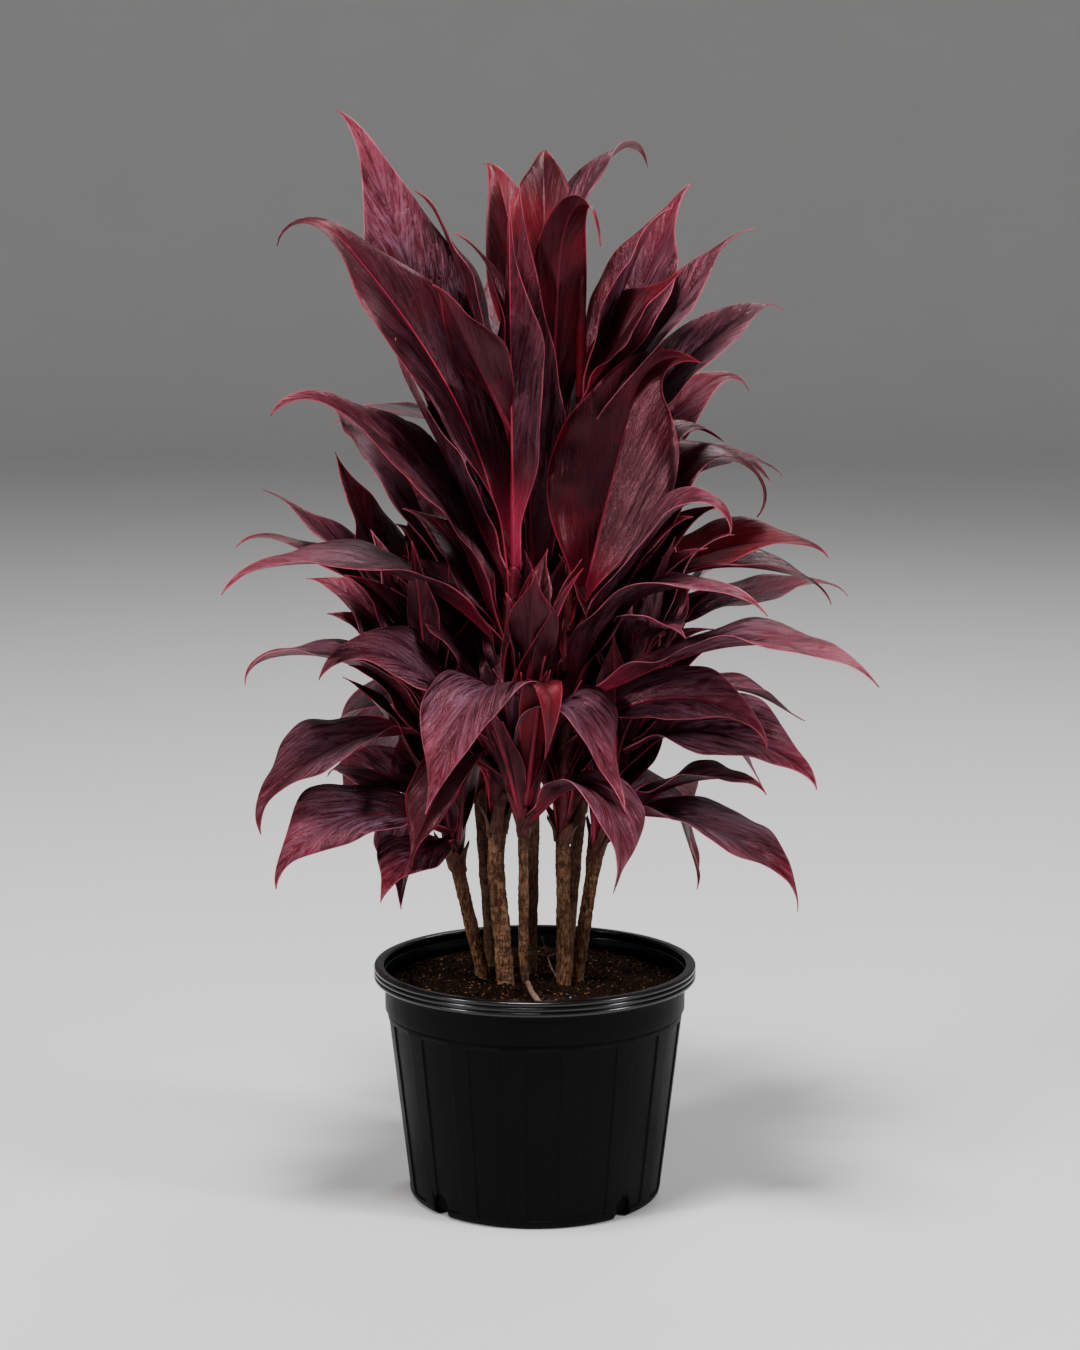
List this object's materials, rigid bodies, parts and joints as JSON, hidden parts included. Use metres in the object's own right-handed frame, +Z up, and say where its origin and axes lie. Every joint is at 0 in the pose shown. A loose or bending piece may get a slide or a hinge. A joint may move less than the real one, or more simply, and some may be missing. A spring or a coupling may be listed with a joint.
{
  "type": "potted ti plant",
  "caption": "Ti plant with dark wine-red leaves on bare ringed canes, growing in a round black ribbed nursery pot.",
  "frame": {"origin": "middle of the pot's foot, on the surface it stands on", "axes": "+Z up, -Y towards the side seen first, +X to the right of it"},
  "size_m": [0.5469, 0.5548, 0.9406],
  "materials": {
    "pot": "black moulded plastic, satin",
    "soil": "dark peat and bark, rough and matt",
    "cane": "light brown bark with ringed leaf scars, matt",
    "leaf": "dark wine-red leaf, satin, with paler veins and a red midrib"
  },
  "bodies": {
    "root": {"pot": "pot", "soil": "soil", "cane_tall_left": "cane", "cane_tall_right": "cane", "cane_low_left": "cane", "cane_low_right": "cane", "cane_low_front": "cane", "cane_back_left": "cane", "cane_back_right": "cane", "cane_tall_centre": "cane", "crown_tall_left": "leaf", "crown_tall_right": "leaf", "crown_low_left": "leaf", "crown_low_right": "leaf", "crown_low_front": "leaf", "crown_back_left": "leaf", "crown_back_right": "leaf", "crown_tall_centre": "leaf"}
  },
  "joints": []
}
